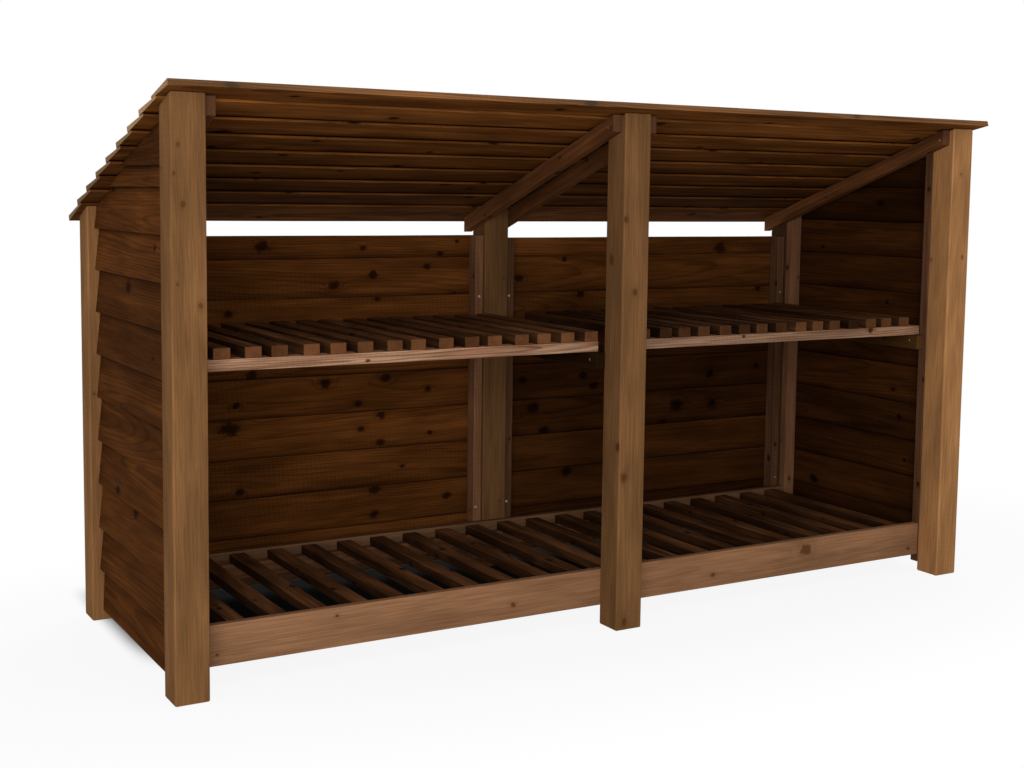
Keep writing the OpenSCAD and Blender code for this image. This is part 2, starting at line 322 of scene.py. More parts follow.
def timber_finish(name, early, late, heart, pale, ring, contrast, blotch, saw):
    """A finish of the treated timber: its colours, ring spacing in mm, and how strongly its marks show."""
    values = {"Ring": ring * MM, "Contrast": contrast, "Blotch": blotch, "Saw": saw,
              "Early": shade(*early), "Late": shade(*late), "Heart": shade(*heart), "Pale": shade(*pale)}
    material, wood, surface = grouped_finish(name, STAIN, values)
    t = material.node_tree
    for attribute, socket in CARRIED.items():
        reader = t.nodes.new("ShaderNodeAttribute")
        reader.attribute_name = attribute
        output = "Vector" if attribute in ("grain", "knot") else "Fac"
        t.links.new(reader.outputs[output], wood.inputs[socket])
    surface.inputs["Specular IOR Level"].default_value = SAWN_GLOSS
    bump = t.nodes.new("ShaderNodeBump")
    bump.inputs["Strength"].default_value = RELIEF_STRENGTH
    bump.inputs["Distance"].default_value = RELIEF_DEPTH
    t.links.new(wood.outputs["Relief"], bump.inputs["Height"])
    t.links.new(bump.outputs["Normal"], surface.inputs["Normal"])
    return material


# Colours of early wood, late wood, knots and end grain, then ring, contrast, blotch and saw marks
STAINS = {
    "post_timber": ((125, 88, 54), (103, 70, 41), (86, 55, 31), (134, 98, 62), 6.0, 0.3, 0.17, 0.07),
    "floor_rail_timber": ((140, 101, 72), (114, 78, 53), (82, 50, 29), (138, 102, 70), 8.0, 0.45, 0.14, 0.04),
    "shelf_rail_timber": ((182, 144, 115), (108, 70, 48), (58, 32, 18), (150, 110, 84), 5.0, 1.0, 0.2, 0.15),
    "batten_timber": ((124, 86, 60), (88, 56, 37), (50, 26, 14), (130, 94, 68), 5.0, 0.7, 0.2, 0.2),
    # The bearers' finish is a darker copy of the battens': painted shade under the shelves
    "shaded_bearer_timber": ((70, 44, 21), (50, 29, 13), (36, 18, 8), (92, 62, 34), 5.0, 0.7, 0.25, 0.2),
    "rafter_timber": ((100, 62, 34), (70, 40, 20), (40, 20, 9), (86, 57, 43), 5.0, 0.8, 0.25, 0.25),
    "wall_boarding": ((94, 54, 22), (54, 27, 9), (26, 10, 4), (104, 68, 36), 6.0, 0.74, 0.26, 0.3),
    "roof_boarding": ((113, 68, 29), (64, 33, 12), (22, 7, 3), (176, 144, 110), 6.0, 0.8, 0.28, 0.25),
    "slat_timber": ((99, 63, 38), (56, 34, 18), (28, 12, 6), (78, 48, 27), 5.0, 0.95, 0.4, 0.3),
}
FINISHES = {name: timber_finish(name, *values) for name, values in STAINS.items()}


# Sawn lengths of timber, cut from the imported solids

class Cut:
    """How the timber of a node is cut: its finish, its length and wide directions, and how uneven it is."""

    def __init__(self, slot, along, wide, arris, bow, tone, knots, knot, pith, finish=None):
        self.slot = slot
        self.finish = finish or slot
        self.along = along
        self.wide = wide
        self.thin = along.cross(wide)
        self.arris = arris * MM
        self.bow = bow * MM
        self.tone = tone
        self.knots = knots
        self.knot = knot * MM
        self.pith = pith * MM


# Slot, length and wide directions, arris, bow, tone spread, knots a metre, knot radius, pith; lengths in mm
POST = Cut("post_timber", Z, X, 4.0, 0.4, 0.02, 1.6, 3.0, 55)
RAFTER = Cut("rafter_timber", DOWN_ROOF, OFF_ROOF, 1.5, 0.6, 0.1, 2.0, 5, 60)
SIDE_BOARD = Cut("wall_boarding", Y, Z, 1.2, 1.0, 0.14, 1.6, 8, 90)
BACK_BOARD = Cut("wall_boarding", X, Z, 1.2, 0.9, 0.14, 0.0, 8, 90)
ROOF_BOARD = Cut("roof_boarding", X, DOWN_ROOF, 1.2, 0.9, 0.15, 1.4, 9, 90)
SIDE_BATTEN = Cut("batten_timber", Z, X, 1.5, 0.5, 0.1, 2.0, 5, 50)
BACK_BATTEN = Cut("batten_timber", Z, Y, 1.5, 0.5, 0.1, 2.0, 5, 50)
FLOOR_RAIL = Cut("floor_rail_timber", X, Z, 2.0, 0.5, 0.03, 0.0, 6, 70)
LEDGER = Cut("batten_timber", X, Z, 1.5, 0.5, 0.1, 2.0, 5, 50)
FLOOR_SLAT = Cut("slat_timber", Y, X, 2.0, 1.0, 0.3, 1.5, 6, 40)
SHELF_SLAT = Cut("slat_timber", Y, X, 1.8, 0.8, 0.42, 1.5, 6, 40)
SHELF_RAIL = Cut("shelf_rail_timber", X, Y, 1.8, 0.6, 0.04, 1.6, 6, 26)
BEARER = Cut("batten_timber", Y, Z, 1.5, 0.5, 0.1, 1.5, 6, 45, finish="shaded_bearer_timber")

TIMBERS = {
    "front_left_post": POST, "front_centre_post": POST, "front_right_post": POST,
    "back_left_post": POST, "back_centre_post": POST, "back_right_post": POST,
    "left_rafter": RAFTER, "centre_left_rafter": RAFTER,
    "centre_right_rafter": RAFTER, "right_rafter": RAFTER,
    "roof_front_board": ROOF_BOARD, "roof_boards": ROOF_BOARD,
    "left_side_front_batten": SIDE_BATTEN, "left_side_rear_batten": SIDE_BATTEN,
    "left_side_boards": SIDE_BOARD,
    "right_side_front_batten": SIDE_BATTEN, "right_side_rear_batten": SIDE_BATTEN,
    "right_side_boards": SIDE_BOARD,
    "left_back_battens": BACK_BATTEN, "left_back_boards": BACK_BOARD,
    "right_back_battens": BACK_BATTEN, "right_back_boards": BACK_BOARD,
    "front_floor_rail": FLOOR_RAIL, "rear_floor_rail": FLOOR_RAIL,
    "front_floor_ledger": LEDGER, "rear_floor_ledger": LEDGER, "floor_slats": FLOOR_SLAT,
    "left_shelf_bearer": BEARER, "centre_left_shelf_bearer": BEARER,
    "centre_right_shelf_bearer": BEARER, "right_shelf_bearer": BEARER,
    "left_front_shelf_rail": SHELF_RAIL, "left_rear_shelf_rail": SHELF_RAIL,
    "left_shelf_slats": SHELF_SLAT,
    "right_front_shelf_rail": SHELF_RAIL, "right_rear_shelf_rail": SHELF_RAIL,
    "right_shelf_slats": SHELF_SLAT,
}

# Knots that stand out, in mm: place along the timber, place across its wide face, radius
KNOTS = {
    "front_floor_rail": [
        (-1007, 72, 4), (-733, 118, 4), (-283, 81, 6), (315, 78, 6), (629, 107, 16), (1010, 68, 5)],
    "front_left_post": [
        (1140, -1104, 4), (1083, -1112, 3), (1022, -1095, 5), (864, -1107, 4), (820, -1060, 6)],
    "front_centre_post": [(995, -30, 6), (823, -1, 7), (376, -22, 9), (20, -13, 7)],
    "front_right_post": [(892, 1097, 5), (1120, 1080, 4)],
    "left_back_boards": [
        (-665, 907, 16), (-383, 902, 8), (-99, 918, 6), (-150, 884, 7), (-353, 830, 11), (-466, 802, 12),
        (-191, 849, 8), (-341, 765, 7), (-107, 773, 6), (-757, 735, 9), (-694, 575, 14), (-491, 545, 13),
        (-316, 550, 11), (-186, 511, 8), (-737, 499, 9), (-396, 483, 9), (-328, 448, 11), (-756, 441, 22),
        (-387, 414, 9), (-178, 390, 6), (-328, 371, 10), (-264, 302, 6), (-725, 271, 10), (-348, 243, 13),
        (-348, 174, 13), (-124, 205, 10)],
    "right_back_boards": [
        (252, 865, 7), (102, 813, 11), (309, 762, 12), (822, 893, 18), (974, 765, 10), (116, 520, 10),
        (325, 523, 10), (364, 488, 10), (154, 436, 17), (193, 366, 14), (271, 241, 13), (796, 501, 12),
        (979, 517, 8), (667, 412, 18), (806, 409, 14), (622, 361, 10)],
    "roof_front_board": [(-905, -590, 4), (-520, -570, 5), (-90, -600, 4), (288, -575, 6), (760, -590, 4)],
    "roof_boards": [
        (-941, -530, 17), (-715, -512, 9), (-761, -416, 9), (-934, -443, 9), (-779, -288, 10),
        (-442, -344, 14), (-578, -320, 7), (-254, -237, 10), (-399, -450, 7), (-162, -201, 10),
        (344, -540, 8), (623, -443, 8)],
}
# The same on the narrow face
SIDE_KNOTS = {
    "front_centre_post": [(898, -326, 9), (451, -366, 8)],
    "front_right_post": [(884, -310, 5)],
}
# A knot itself, without the grain that turns round it, against the radius listed
KNOT_SCALE = 0.85

# Lighter and darker lengths, against the rest of their kind. The darker right side boards and front batten,
# right back battens and centre left shelf bearer are painted shade
TONES = {
    "front_left_post": -0.12, "front_centre_post": -0.18, "front_right_post": 0.65,
    "back_left_post": 0.08, "back_centre_post": -0.45, "back_right_post": -0.74,
    "roof_front_board": -0.1, "left_side_boards": -0.22, "right_side_boards": -0.6,
    "right_side_front_batten": -0.5, "left_back_battens": 0.15, "right_back_battens": -0.5,
    "rear_floor_rail": -0.48, "floor_slats": 0.14, "centre_left_shelf_bearer": -0.6,
    "left_shelf_slats": 0.28, "right_shelf_slats": -0.2, "right_front_shelf_rail": -0.2,
}
# Boards of the right back wall whose tops lie below this height are darkened, painted shade under the shelf
DARK_BELOW, PAINTED_LOW_SHADE = 0.76, -0.6
# Tone of the roof boards, how much lighter the first is as painted light from the open front, and the number
# of boards in which that fades
ROOF_TONE, ROOF_FRONT_LIGHT, ROOF_LIGHT_FADE = -0.27, 0.5, 1.2

# Outer side of the lapped boarding
OUTSIDE = {"left_side_boards": -X, "right_side_boards": X, "left_back_boards": Y, "right_back_boards": Y,
           "roof_boards": OFF_ROOF}

# Slats with painted shade on their sides, and how deep in it they lie, as a distance from a lap in metres
GAPPED = ("floor_slats", "left_shelf_slats", "right_shelf_slats")
GAP_SHADE = 0.0015
# Such a distance for a face that no painted lap shade reaches
CLEAR = 1.0

# Sawn edges that stand to the weather and have faded: the way they face, and how far
FADED = {"roof_front_board": (-DOWN_ROOF, 0.2)}

# Points this close together are one, in metres
SAME_POINT = 1e-6
# An edge that turns by less is flat, and one that turns by more is sharp
FLAT, SHARP = math.radians(0.5), math.radians(25)
# Length of the pieces that a timber is cut up into, and how far a cut stays from others, in metres
STEP = 70.0 * MM
CUT_CLEAR = 0.012


def solids_of(node):
    """Each solid of a CAD node as a bmesh with whole, flat faces."""
    whole = bmesh.new()
    whole.from_mesh(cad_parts[node].data)
    bmesh.ops.remove_doubles(whole, verts=whole.verts, dist=SAME_POINT)
    bmesh.ops.dissolve_limit(whole, angle_limit=FLAT, verts=whole.verts[:], edges=whole.edges[:])
    whole.verts.ensure_lookup_table()
    left = set(whole.verts)
    solids = []
    while left:
        start = min(left, key=lambda v: v.index)
        island, reach = {start}, [start]
        while reach:
            vert = reach.pop()
            for edge in vert.link_edges:
                other = edge.other_vert(vert)
                if other not in island:
                    island.add(other)
                    reach.append(other)
        left -= island
        solid = bmesh.new()
        copies = {v: solid.verts.new(v.co) for v in sorted(island, key=lambda v: v.index)}
        for face in whole.faces:
            if face.verts[0] in island:
                solid.faces.new([copies[v] for v in face.verts])
        solid.normal_update()
        solids.append(solid)
    whole.free()
    return solids


def centre_of(solid):
    """The mean of a solid's points, rounded, which puts solids in the same order each run."""
    mean = sum((v.co for v in solid.verts), Vector()) / len(solid.verts)
    return tuple(round(c, 4) for c in mean)


def slice_up(solid, way, place):
    """Cuts a solid's faces where they cross a place along a direction."""
    every = solid.verts[:] + solid.edges[:] + solid.faces[:]
    bmesh.ops.bisect_plane(solid, geom=every, plane_co=way * place, plane_no=way, dist=SAME_POINT)


def ease(solid, cut, joins, splits):
    """Cuts a solid up at steps, joins and splits, and eases its arrises. Returns the arrises' faces."""
    places = sorted(v.co.dot(cut.along) for v in solid.verts)
    low, high = places[0], places[-1]
    count = max(2, round((high - low) / STEP))
    for place in joins + [low + (high - low) * i / count for i in range(1, count)]:
        if min(abs(place - p) for p in places) > CUT_CLEAR:
            places.append(place)
            slice_up(solid, cut.along, place)
    for place in splits:
        slice_up(solid, cut.wide, place)
    sharp = [e for e in solid.edges if len(e.link_faces) == 2 and e.calc_face_angle() > SHARP]
    eased = bmesh.ops.bevel(solid, geom=sharp, offset=cut.arris, offset_type="OFFSET", segments=2,
                            profile=0.5, affect="EDGES", clamp_overlap=True)
    solid.normal_update()
    return set(eased["faces"])


def scatter_knots(luck, cut, low, high, side):
    """Places of chance knots on one side of a length: along, across and radius."""
    length = high[0] - low[0]
    number = int(length * cut.knots + luck.random())
    spots = []
    for i in range(number):
        along = low[0] + length * (i + 0.15 + 0.7 * luck.random()) / number
        across = low[side] + (high[side] - low[side]) * (0.08 + 0.84 * luck.random())
        spots.append((along, across, cut.knot * (0.45 + 0.9 * luck.random())))
    return spots


def chosen_knots(node, cut, extents):
    """The knots of a node that stand out, given to the board that shows at their place."""
    chosen = [{1: [], 2: []} for _ in extents]
    for side, listed in ((1, KNOTS), (2, SIDE_KNOTS)):
        for along, across, size in listed.get(node, ()):
            place = across * MM
            fits = [i for i, (low, high) in enumerate(extents) if low[side] <= place <= high[side]]
            if fits and cut.wide is DOWN_ROOF:
                shown = max(fits, key=lambda i: extents[i][0][1])
            elif fits:
                shown = min(fits, key=lambda i: extents[i][1][1])
            else:
                continue
            chosen[shown][side].append((along * MM, place, KNOT_SCALE * size * MM))
    return chosen


def between_knots(spots):
    """Places along and across a length that part the faces of one knot from those of the next."""
    joins, splits = [], []
    for side, listed in spots.items():
        row = sorted(listed)
        for a, b in zip(row, row[1:]):
            if b[0] - a[0] > MM:
                joins.append((a[0] + b[0]) / 2)
            elif side == 1:
                splits.append((a[1] + b[1]) / 2)
    return joins, splits


def tone_of(node, number, top, luck):
    """How much lighter or darker one length is than its finish, with the painted light on the front roof
    boards and the painted shade on the right back wall's lower boards.
    """
    spread = TIMBERS[node].tone
    tone = luck.uniform(-spread, spread) + TONES.get(node, 0.0)
    if node == "roof_boards":
        # Painted light: the roof boards lighter towards the front
        tone += ROOF_FRONT_LIGHT * math.exp(-number / ROOF_LIGHT_FADE) + ROOF_TONE
    # Painted shade on the lower boards of the right back wall
    if node == "right_back_boards" and top < DARK_BELOW:
        tone += PAINTED_LOW_SHADE
    return tone


def lap_edge(node, cut, extents, number, normal):
    """Where the next board covers this face, across the board, and which way leads out of the lap."""
    if node not in OUTSIDE or abs(normal.dot(cut.thin)) < 0.3:
        return 0.0, 0
    order = sorted(range(len(extents)), key=lambda i: extents[i][0][1])
    at = order.index(number)
    outer = normal.dot(OUTSIDE[node]) > 0
    if outer == (cut.wide is DOWN_ROOF):
        return (extents[order[at - 1]][1][1], 1) if at > 0 else (0.0, 0)
    return (extents[order[at + 1]][0][1], -1) if at + 1 < len(order) else (0.0, 0)


# Waves a metre of a length's bow and twist and of its skin, and the share of the bow that the last two have
BOW_WAVES, TWIST_WAVES, SKIN_WAVES = 2.3, 2.0, 40.0
TWIST_SHARE, SKIN_SHARE = 0.6, 0.12


def bowed(solid, cut, local, seed):
    """The points of a length, bowed and twisted along it, with an uneven skin."""
    points = []
    for vert, place in zip(solid.verts, local):
        sway = noise.noise(Vector((place.x * BOW_WAVES, seed, 0.0)))
        twist = noise.noise(Vector((place.x * TWIST_WAVES, seed, 9.0)))
        rough = noise.noise(vert.co * SKIN_WAVES)
        shift = cut.wide * (sway * cut.bow) + cut.thin * (twist * TWIST_SHARE * cut.bow)
        points.append(vert.co + shift + vert.normal * (rough * SKIN_SHARE * cut.bow))
    return points


def new_object(name, points, faces, finish):
    """An object of points and faces in one finish, put in the scene."""
    mesh = bpy.data.meshes.new(name)
    mesh.from_pydata(points, [], faces)
    mesh.materials.append(finish)
    made = bpy.data.objects.new(name, mesh)
    scene.collection.objects.link(made)
    return made


# The sawn surface of each node, and the lowest and highest places of its lengths: along, wide and thin
SURFACES = {}
BOARDS = {}
# How far a face leans to the end, to the side and to the weather to count as such
END_LEAN, SIDE_LEAN, WEATHER_LEAN = 0.75, 0.8, 0.6
# In the choice of a face's knot, distance along counts this many times distance across
ALONG_FIRST = 50


def sawn(node):
    """The timber of one CAD node: eased, slightly uneven lengths that carry their own grain."""
    cut = TIMBERS[node]
    axes = (cut.along, cut.wide, cut.thin)
    points, faces = [], []
    corners = {"grain": [], "knot": []}
    marks = {"seed": [], "tone": [], "end_grain": [], "arris": [], "lap": []}
    solids = sorted(solids_of(node), key=centre_of)
    extents = []
    for solid in solids:
        places = [[v.co.dot(a) for a in axes] for v in solid.verts]
        extents.append(([min(c) for c in zip(*places)], [max(c) for c in zip(*places)]))
    chosen = chosen_knots(node, cut, extents)
    facing, fade = FADED.get(node, (cut.along, 0.0))
    for number, solid in enumerate(solids):
        low, high = extents[number]
        luck = random.Random(f"{node} {number}")
        seed = luck.uniform(0, 90)
        tone = tone_of(node, number, high[1], luck)
        spots = {side: chosen[number][side] or scatter_knots(luck, cut, low, high, side) for side in (1, 2)}
        joins, splits = between_knots(spots)
        eased = ease(solid, cut, joins, splits)
        local = [Vector([v.co.dot(a) for a in axes]) for v in solid.verts]
        halfway = [(a + b) / 2 for a, b in zip(low, high)]
        turn = luck.uniform(0, 2 * math.pi)
        reach = cut.pith * luck.uniform(0.5, 1.3)
        pith = (halfway[1] + reach * math.cos(turn), halfway[2] + reach * math.sin(turn))
        lean = (luck.uniform(-0.03, 0.03), luck.uniform(-0.03, 0.03))

        first = len(points)
        solid.verts.index_update()
        points += bowed(solid, cut, local, seed)
        for face in solid.faces:
            faces.append([first + v.index for v in face.verts])
            lean_to = [abs(face.normal.dot(a)) for a in axes]
            at_end = lean_to[0] > END_LEAN
            side = 1 if lean_to[2] >= lean_to[1] else 2
            centre = face.calc_center_median()
            away = (centre.dot(cut.along), centre.dot(axes[side]))
            spot = min(spots[side], default=None,
                       key=lambda s: ALONG_FIRST * abs(s[0] - away[0]) + abs(s[1] - away[1]))
            # Painted shade below each lap of the boarding, and on the slats' sides
            edge, way = lap_edge(node, cut, extents, number, face.normal)
            clear = GAP_SHADE if node in GAPPED and lean_to[1] > SIDE_LEAN else CLEAR
            pale = 1.0 if at_end else fade if face.normal.dot(facing) > WEATHER_LEAN else 0.0
            for vert in face.verts:
                x, y, z = local[vert.index]
                run = x - halfway[0]
                corners["grain"].append((run, y - pith[0] - lean[0] * run, z - pith[1] - lean[1] * run))
                if spot is None or at_end:
                    corners["knot"].append((0.0, 0.0, 0.0))
                else:
                    corners["knot"].append((x - spot[0], local[vert.index][side] - spot[1], spot[2]))
                marks["seed"].append(seed)
                marks["tone"].append(tone)
                marks["lap"].append((y - edge) * way if way else clear)
                marks["end_grain"].append(pale)
                marks["arris"].append(1.0 if face in eased and not at_end else 0.0)
        solid.free()

    SURFACES[node] = BVHTree.FromPolygons(points, faces)
    BOARDS[node] = extents
    piece = new_object(node + "_sawn", points, faces, FINISHES[cut.finish])
    mesh = piece.data
    for name, values in corners.items():
        layer = mesh.attributes.new(name, "FLOAT_VECTOR", "CORNER")
        layer.data.foreach_set("vector", [c for v in values for c in v])
    for name, values in marks.items():
        layer = mesh.attributes.new(name, "FLOAT", "CORNER")
        layer.data.foreach_set("value", values)
    mesh.shade_smooth()
    flat = piece.modifiers.new("even_faces", "WEIGHTED_NORMAL")
    flat.weight = 100
    flat.keep_sharp = True
    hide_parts(node)
    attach(piece, "root")


for timber in TIMBERS:
    sawn(timber)


# Nails and screws

# Patches of the zinc, in waves a metre
ZINC_WAVES = (420, 420, 420)
ZINC_METAL = 0.85


def zinc_group():
    """Colour and roughness of zinc on steel, dulled in patches."""
    t, inlet, outlet = new_group(
        "dulled_zinc",
        [("Place", VECTOR), ("Bright", COLOUR), ("Dull", COLOUR), ("Roughness", NUMBER)],
        [("Color", COLOUR), ("Roughness", NUMBER)])
    patches = cloud(t, inlet["Place"], ZINC_WAVES, 2.0)
    feed(t, blend(t, between(t, patches, 0.35, 0.65), inlet["Bright"], inlet["Dull"]), outlet["Color"])
    least = calc(t, "SUBTRACT", inlet["Roughness"], 0.1)
    most = calc(t, "ADD", inlet["Roughness"], 0.15)
    feed(t, between(t, patches, 0.3, 0.7, least, most), outlet["Roughness"])
    return t


ZINC = zinc_group()


def zinc_finish(name, bright, dull, roughness):
    """A finish of the zinc: its colours where it is bright and dull, and its roughness."""
    values = {"Bright": shade(*bright), "Dull": shade(*dull), "Roughness": roughness}
    material, zinc, surface = grouped_finish(name, ZINC, values)
    t = material.node_tree
    t.links.new(t.nodes.new("ShaderNodeTexCoord").outputs["Object"], zinc.inputs["Place"])
    surface.inputs["Metallic"].default_value = ZINC_METAL
    return material


NAIL = zinc_finish("nail_zinc", (112, 92, 72), (70, 50, 34), 0.6)
SCREW = zinc_finish("screw_zinc", (190, 180, 164), (130, 118, 102), 0.4)
# Radius and height of a head: nails of boards, nails of slats, and screws
BOARD_NAIL = (2.6 * MM, 0.5 * MM)
SLAT_NAIL = (2.2 * MM, 0.4 * MM)
SCREW_HEAD = (3.4 * MM, 0.8 * MM)
HEAD_SIDES = 16


def head_rings(radius, tall, recess):
    """Rings of a low round head from its rim to its middle: radius for each side, and height."""
    rings = [([radius] * HEAD_SIDES, -tall), ([radius] * HEAD_SIDES, 0.45 * tall),
             ([0.86 * radius] * HEAD_SIDES, 0.85 * tall), ([0.6 * radius] * HEAD_SIDES, tall)]
    if recess:
        star = [radius * (0.5 if side % 4 == 0 else 0.17) for side in range(HEAD_SIDES)]
        rings += [(star, tall), ([0.8 * r for r in star], 0.1 * tall)]
    return rings


def fixings(name, spots, head, finish, recess=False):
    """Heads of nails or screws at points of the timber, each facing off its face."""
    points, faces = [], []
    rings = head_rings(*head, recess)
    for place, normal in spots:
        turn = normal.to_track_quat("Z", "Y")
        start = len(points)
        for radii, high in rings:
            for side, r in enumerate(radii):
                angle = 2 * math.pi * side / HEAD_SIDES
                points.append(place + turn @ Vector((r * math.cos(angle), r * math.sin(angle), high)))
        for ring in range(len(rings) - 1):
            for side in range(HEAD_SIDES):
                a = start + ring * HEAD_SIDES + side
                b = start + ring * HEAD_SIDES + (side + 1) % HEAD_SIDES
                faces.append((a, b, b + HEAD_SIDES, a + HEAD_SIDES))
        last = start + (len(rings) - 1) * HEAD_SIDES
        faces.append(tuple(range(last, last + HEAD_SIDES)))
        faces.append(tuple(range(start + HEAD_SIDES - 1, start - 1, -1)))
    piece = new_object(name, points, faces, finish)
    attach(piece, "root")


def struck(node, start, heading):
    """The point and facing of a node's timber that a line from start meets first."""
    place, normal, _, _ = SURFACES[node].ray_cast(start, heading)
    return [] if place is None else [(place, normal)]


def middle(node):
    """The middle of a node's box."""
    low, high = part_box(node)
    return (Vector(low) + Vector(high)) / 2


NAIL_LUCK = random.Random("nails")


def about(spread=0.005):
    """A small chance distance, for given places."""
    return NAIL_LUCK.uniform(-spread, spread)


# Height of a nail above the lower edge of its board, and the distances from which lines start
NAIL_UP, AFAR, BESIDE = 0.032, 3.0, 0.3
# Places of screws: in from the ends of a bearer, and heights up a batten
SCREW_IN = 0.03
SCREWS_UP = (0.17, 0.76)
# The bay's side of each rafter and bearer
BAY_SIDES = {"left": X, "centre_left": -X, "centre_right": X, "right": -X}


def batten_columns(side):
    """Where the battens of a back wall stand across the store. Their thin direction is -X."""
    return [-(low[2] + high[2]) / 2 for low, high in BOARDS[f"{side}_back_battens"]]


def slat_nails(slats, carriers):
    """Points on the tops of slats, over each timber that carries them."""
    spots = []
    for carrier in carriers:
        row = middle(carrier).y
        for low, high in BOARDS[slats]:
            start = X * ((low[1] + high[1]) / 2 + about()) + Y * (row + about()) + Z * AFAR
            spots += struck(slats, start, -Z)
    return spots


def roof_nails():
    """Points on the roof boards, over each rafter."""
    spots = []
    for bay_side in BAY_SIDES:
        column = middle(f"{bay_side}_rafter").x
        for boards in ("roof_front_board", "roof_boards"):
            for _, high in BOARDS[boards]:
                down = high[1] - NAIL_UP + about()
                start = X * (column + about()) + DOWN_ROOF * down + OFF_ROOF * AFAR
                spots += struck(boards, start, -OFF_ROOF)
    return spots


def side_nails(side, off):
    """Points on the outside of a side wall, over its battens."""
    boards = f"{side}_side_boards"
    spots = []
    for batten in ("front", "rear"):
        row = middle(f"{side}_side_{batten}_batten").y
        for low, _ in BOARDS[boards]:
            start = off * AFAR + Y * (row + about()) + Z * (low[1] + NAIL_UP + about())
            spots += struck(boards, start, -off)
    return spots


def back_nails(side):
    """Points on the outside of a bay's back wall, over its battens."""
    boards = f"{side}_back_boards"
    spots = []
    for column in batten_columns(side):
        for low, _ in BOARDS[boards]:
            start = X * (column + about()) + Y * AFAR + Z * (low[1] + NAIL_UP + about())
            spots += struck(boards, start, -Y)
    return spots


def frame_screws():
    """Points on the rafters, bearers and back battens where the heads of screws show."""
    spots = []
    for bay_side, off in BAY_SIDES.items():
        rafter = f"{bay_side}_rafter"
        row = middle("front_left_post").y + about(0.01)
        drop = (row - middle(rafter).y) * math.tan(ROOF_FALL)
        start = X * middle(rafter).x + off * BESIDE + Y * row + Z * (middle(rafter).z - drop + about())
        spots += struck(rafter, start, -off)
    for bay_side, off in BAY_SIDES.items():
        bearer = f"{bay_side}_shelf_bearer"
        low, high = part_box(bearer)
        for row in (low[1] + SCREW_IN, high[1] - SCREW_IN):
            start = X * middle(bearer).x + off * BESIDE + Y * row + Z * (middle(bearer).z + about())
            spots += struck(bearer, start, -off)
    for side in ("left", "right"):
        for column in batten_columns(side):
            for tall in SCREWS_UP:
                start = X * (column + about()) + Z * (tall + about(0.012))
                spots += struck(f"{side}_back_battens", start, Y)
    return spots


fixings("roof_nails", roof_nails(), BOARD_NAIL, NAIL)
for wall, outward in (("left", -X), ("right", X)):
    fixings(f"{wall}_side_nails", side_nails(wall, outward), BOARD_NAIL, NAIL)
    fixings(f"{wall}_back_nails", back_nails(wall), BOARD_NAIL, NAIL)
    rails = (f"{wall}_front_shelf_rail", f"{wall}_rear_shelf_rail")
    fixings(f"{wall}_shelf_nails", slat_nails(f"{wall}_shelf_slats", rails), SLAT_NAIL, NAIL)
ledgers = ("front_floor_ledger", "rear_floor_ledger")
fixings("floor_nails", slat_nails("floor_slats", ledgers), SLAT_NAIL, NAIL)
fixings("screws", frame_screws(), SCREW_HEAD, SCREW, recess=True)


# Camera at the photograph's angle

IMAGE_WIDE, IMAGE_TALL = 1024, 768
FOCAL_PIXELS = 1430.2
CENTRE_PIXEL = (520.3, 327.95)
CAMERA_PLACE = (-1.9587, -3.1616, 1.0525)
# Turn about the upright, dip below level and roll about the line of sight, in degrees
CAMERA_TURN, CAMERA_DIP, CAMERA_ROLL = -30.51, 5.37, 0.75


def photo_camera():
    """The camera, with the photograph's place, angle and framing."""
    camera = bpy.data.cameras.new("camera")
    camera.sensor_width = 36.0
    camera.lens = camera.sensor_width * FOCAL_PIXELS / IMAGE_WIDE
    camera.shift_x = (IMAGE_WIDE / 2 - CENTRE_PIXEL[0]) / IMAGE_WIDE
    camera.shift_y = (CENTRE_PIXEL[1] - IMAGE_TALL / 2) / IMAGE_WIDE
    camera.clip_end = 100.0
    eye = bpy.data.objects.new("camera", camera)
    turn = Matrix.Rotation(math.radians(CAMERA_TURN), 4, "Z")
    dip = Matrix.Rotation(math.radians(90 - CAMERA_DIP), 4, "X")
    roll = Matrix.Rotation(math.radians(CAMERA_ROLL), 4, "Z")
    eye.matrix_world = Matrix.Translation(CAMERA_PLACE) @ turn @ dip @ roll
    scene.collection.objects.link(eye)
    return eye


scene.camera = photo_camera()


# Pale floor, white surroundings and soft light

def seen_directly(tree):
    """1 where a ray comes from the camera, a reflection or a clear surface."""
    path = tree.nodes.new("ShaderNodeLightPath")
    return calc(tree, "MAXIMUM", path.outputs["Is Camera Ray"],
                calc(tree, "MAXIMUM", path.outputs["Is Glossy Ray"], path.outputs["Is Transmission Ray"]))


# Light of the surroundings from behind and from the front left, and where the front left lies, east and north
AMBIENT_BEHIND, AMBIENT_FRONT = 0.38, 0.78
FRONT_EAST, FRONT_NORTH = -0.75, -0.66


def white_surroundings():
    """White to the eye, with a soft light that is stronger from the front left."""
    world = bpy.data.worlds.new("surroundings")
    world.use_nodes = True
    t = world.node_tree
    sky = t.nodes["Background"]
    sky.inputs["Color"].default_value = (1, 1, 1, 1)
    east, north, _ = split(t, t.nodes.new("ShaderNodeTexCoord").outputs["Generated"])
    towards = calc(t, "ADD", calc(t, "MULTIPLY", east, FRONT_EAST), calc(t, "MULTIPLY", north, FRONT_NORTH))
    ambient = between(t, towards, -0.8, 0.9, AMBIENT_BEHIND, AMBIENT_FRONT)
    direct = seen_directly(t)
    strength = calc(t, "ADD", direct, calc(t, "MULTIPLY", calc(t, "SUBTRACT", 1.0, direct), ambient))
    feed(t, strength, sky.inputs["Strength"])
    return world


scene.world = white_surroundings()

FLOOR_HALF, FLOOR_LEVEL = 30.0, -0.0005
FLOOR_COLOUR = (0.8, 0.8, 0.8, 1)
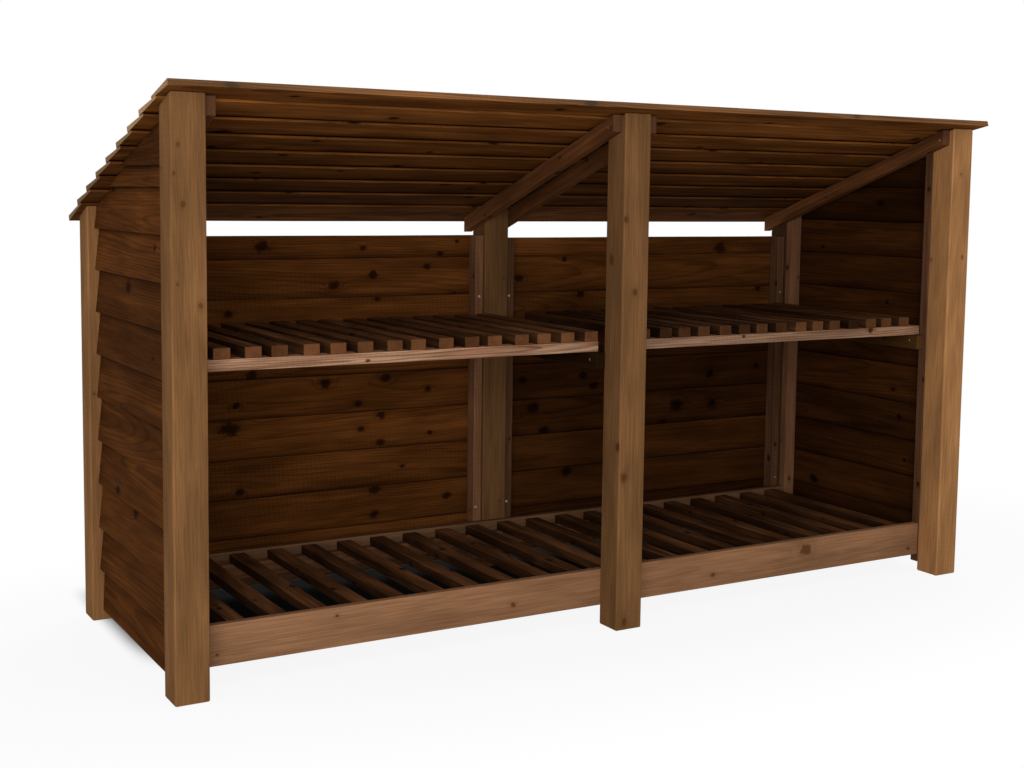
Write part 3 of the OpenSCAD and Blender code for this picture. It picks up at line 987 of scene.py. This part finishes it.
# Where the painted shade under the store begins and is full, in metres: out to each side, at the front, at
# the rear
SHADE_SIDES, SHADE_FRONT, SHADE_REAR = (1.12, 1.03), (-0.14, 0.13), (0.64, 0.41)
# How dark the painted shade under the store is, as a share of black for the eye
PAINTED_DEEP_SHADE = 0.97
# How far the store's shadow shows on the white floor, with the long way shortened, and how white it is there
SHADOW_REACH, LONG_WAY, SHADOW_WHITE = (0.45, 1.1), 0.4, (0.9, 1.0)


def floor_finish():
    """Plain and pale to the light, white to the eye in the open, and painted into deep shade for the eye
    under the store.
    """
    material = bpy.data.materials.new("pale_floor")
    material.use_nodes = True
    t = material.node_tree
    surface = t.nodes["Principled BSDF"]
    surface.inputs["Specular IOR Level"].default_value = 0.0
    surface.inputs["Roughness"].default_value = 1.0
    surface.inputs["Base Color"].default_value = FLOOR_COLOUR
    x, y, _ = split(t, t.nodes.new("ShaderNodeTexCoord").outputs["Object"])
    sides = between(t, calc(t, "ABSOLUTE", x), *SHADE_SIDES)
    front = between(t, y, *SHADE_FRONT)
    rear = between(t, y, *SHADE_REAR)
    under = calc(t, "MULTIPLY", sides, calc(t, "MULTIPLY", front, rear))
    away = calc(t, "SQRT", squares(t, calc(t, "MULTIPLY", x, LONG_WAY), y))
    lit = between(t, away, *SHADOW_REACH, *SHADOW_WHITE)
    white = calc(t, "MULTIPLY", lit, calc(t, "SUBTRACT", 1.0, under))
    seen = seen_directly(t)
    shown = surface.outputs[0]
    # The eye sees white in the open and a painted black shade under the store
    for share, strength in ((white, 1.0), (calc(t, "MULTIPLY", under, PAINTED_DEEP_SHADE), 0.0)):
        glow = t.nodes.new("ShaderNodeEmission")
        glow.inputs["Strength"].default_value = strength
        mix = t.nodes.new("ShaderNodeMixShader")
        feed(t, calc(t, "MULTIPLY", seen, share), mix.inputs[0])
        t.links.new(shown, mix.inputs[1])
        t.links.new(glow.outputs[0], mix.inputs[2])
        shown = mix.outputs[0]
    t.links.new(shown, t.nodes["Material Output"].inputs["Surface"])
    return material


SQUARE = ((-1, -1), (1, -1), (1, 1), (-1, 1))
floor_corners = [(FLOOR_HALF * x, FLOOR_HALF * y, FLOOR_LEVEL) for x, y in SQUARE]
floor = new_object("floor", floor_corners, [(0, 1, 2, 3)], floor_finish())


def soft_lamp(name, place, aim, size, power):
    """A wide lamp at a place, turned to a point."""
    lamp = bpy.data.lights.new(name, "AREA")
    lamp.shape = "RECTANGLE"
    lamp.size, lamp.size_y = size
    lamp.energy = power
    holder = bpy.data.objects.new(name, lamp)
    holder.location = place
    holder.rotation_euler = (Vector(aim) - Vector(place)).to_track_quat("-Z", "Y").to_euler()
    scene.collection.objects.link(holder)


soft_lamp("front_light", place=(-2.9, -4.5, 1.35), aim=(0.0, 0.0, 0.6), size=(2.6, 2.0), power=124.0)
soft_lamp("rear_light", place=(3.4, 4.6, 2.4), aim=(0.0, 0.2, 0.6), size=(2.6, 2.0), power=150.0)
